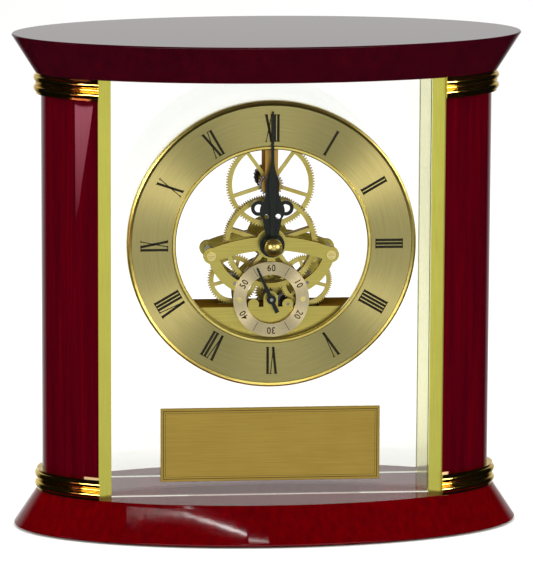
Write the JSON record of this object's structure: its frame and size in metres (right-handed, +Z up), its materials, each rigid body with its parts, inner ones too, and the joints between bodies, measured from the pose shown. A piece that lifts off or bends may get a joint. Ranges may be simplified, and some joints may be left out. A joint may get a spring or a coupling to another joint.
{
  "type": "mantel clock",
  "caption": "Mantel clock with oval lacquered slabs and columns, glass panes and a skeleton movement with moving hands, gears, setting knob and battery door.",
  "frame": {"origin": "middle of the underside of the base", "axes": "+Z up, the dial faces -Y, +X to the viewer's right when looking at the dial"},
  "size_m": [0.184, 0.0874, 0.1808],
  "materials": {
    "lacquer": "high gloss burgundy lacquer on wood",
    "felt": "black felt",
    "polished_brass": "polished",
    "channel": "polished gold anodised",
    "clear_glass": "clear, polished edges",
    "plaque_metal": "finely brushed, blank with a ruled border",
    "bezel_brass": "polished",
    "case_gold": "satin lacquered",
    "chapter_metal": "circular brushed gold with black numerals",
    "sub_dial_metal": "circular brushed gold with black figures",
    "plate_gold": "fine straight brushed",
    "post_copper": "satin",
    "gear_brass": "satin, cut teeth",
    "hand_black": "satin black",
    "screw_brass": "polished",
    "steel": "turned",
    "zinc_steel": "zinc plated",
    "black_plastic": "fine satin",
    "battery_jacket": "plain printed sleeve",
    "magnet": "sintered",
    "stator_iron": "rolled sheet",
    "copper_wire": "enamelled wire",
    "board": "solder mask",
    "gasket_rubber": "matt"
  },
  "bodies": {
    "case": {"base": "lacquer", "top_slab": "lacquer", "base_felt": "felt", "column_left": "lacquer", "column_right": "lacquer", "collar_bottom_left": "polished_brass", "collar_bottom_right": "polished_brass", "collar_top_left": "polished_brass", "collar_top_right": "polished_brass", "channel_left": "channel", "channel_right": "channel", "front_pane": "clear_glass", "rear_pane": "clear_glass", "tie_rods": "zinc_steel", "tie_rod_nuts": "zinc_steel", "threaded_inserts": "zinc_steel", "plaque": "plaque_metal", "insert_case": "case_gold", "case_gasket": "gasket_rubber", "case_screws": "zinc_steel", "bezel": "bezel_brass", "chapter_ring": "chapter_metal", "inner_rim": "bezel_brass", "front_bridge": "plate_gold", "rear_plate": "plate_gold", "frame_pillars": "steel", "frame_screws": "screw_brass", "idler_studs": "steel", "sub_dial_ring": "sub_dial_metal", "sub_dial_screws": "screw_brass", "upper_post": "post_copper", "movement_box": "plate_gold", "stator": "stator_iron", "coil": "copper_wire", "circuit_board": "board", "battery": "battery_jacket", "battery_contacts": "zinc_steel"},
    "minute": {"cannon_pinion": "gear_brass", "minute_hand": "hand_black", "hand_nut": "bezel_brass"},
    "hour": {"hour_hand": "hand_black", "hour_wheel": "gear_brass"},
    "motion_wheel": {"minute_wheel": "gear_brass", "minute_wheel_arbor": "steel", "setting_knob": "black_plastic"},
    "centre": {"centre_wheel": "gear_brass", "centre_arbor": "steel"},
    "third": {"third_wheel": "gear_brass", "third_arbor": "steel"},
    "idler": {"idler_gear": "gear_brass"},
    "transfer": {"transfer_gear": "gear_brass"},
    "seconds": {"seconds_hand": "hand_black", "seconds_arbor": "steel", "seconds_wheel": "gear_brass"},
    "step": {"step_gear": "gear_brass"},
    "intermediate": {"intermediate_wheel": "gear_brass", "intermediate_arbor": "steel"},
    "rotor": {"rotor_arbor": "steel", "rotor_magnet": "magnet"},
    "door": {"battery_door": "black_plastic"}
  },
  "joints": [
    {"name": "minute_spin", "type": "hinge", "parent": "case", "child": "minute", "pos_m": [0, 0, 0.1066], "axis": [0, 1, 0], "continuous": true},
    {"name": "hour_spin", "type": "hinge", "parent": "case", "child": "hour", "pos_m": [0, 0, 0.1066], "axis": [0, 1, 0], "continuous": true},
    {"name": "motion_wheel_spin", "type": "hinge", "parent": "case", "child": "motion_wheel", "pos_m": [0, 0, 0.1276], "axis": [0, 1, 0], "continuous": true},
    {"name": "seconds_spin", "type": "hinge", "parent": "case", "child": "seconds", "pos_m": [0, 0, 0.0864], "axis": [0, 1, 0], "continuous": true},
    {"name": "transfer_spin", "type": "hinge", "parent": "case", "child": "transfer", "pos_m": [-0.00142, 0, 0.09161], "axis": [0, 1, 0], "continuous": true},
    {"name": "idler_spin", "type": "hinge", "parent": "case", "child": "idler", "pos_m": [-0.00186, 0, 0.09624], "axis": [0, 1, 0], "continuous": true},
    {"name": "third_spin", "type": "hinge", "parent": "case", "child": "third", "pos_m": [-0.013, 0, 0.0922], "axis": [0, 1, 0], "continuous": true},
    {"name": "centre_spin", "type": "hinge", "parent": "case", "child": "centre", "pos_m": [0, 0, 0.1066], "axis": [0, 1, 0], "continuous": true},
    {"name": "step_spin", "type": "hinge", "parent": "case", "child": "step", "pos_m": [0.00501, 0, 0.09056], "axis": [0, 1, 0], "continuous": true},
    {"name": "intermediate_spin", "type": "hinge", "parent": "case", "child": "intermediate", "pos_m": [0.013, 0, 0.0922], "axis": [0, 1, 0], "continuous": true},
    {"name": "rotor_spin", "type": "hinge", "parent": "case", "child": "rotor", "pos_m": [0.0062, 0, 0.0842], "axis": [0, 1, 0], "continuous": true},
    {"name": "battery_door_slide", "type": "slide", "parent": "case", "child": "door", "axis": [1, 0, 0], "range_m": [0, 0.03]}
  ],
  "couplings": [
    {"joint": "hour_spin", "follows": "minute_spin", "ratio": 0.083333},
    {"joint": "motion_wheel_spin", "follows": "minute_spin", "ratio": -0.33333},
    {"joint": "transfer_spin", "follows": "seconds_spin", "ratio": -0.5},
    {"joint": "idler_spin", "follows": "seconds_spin", "ratio": 0.31579},
    {"joint": "third_spin", "follows": "seconds_spin", "ratio": -0.1},
    {"joint": "centre_spin", "follows": "seconds_spin", "ratio": 0.016667},
    {"joint": "step_spin", "follows": "seconds_spin", "ratio": -2},
    {"joint": "intermediate_spin", "follows": "seconds_spin", "ratio": 4},
    {"joint": "rotor_spin", "follows": "seconds_spin", "ratio": -30}
  ]
}
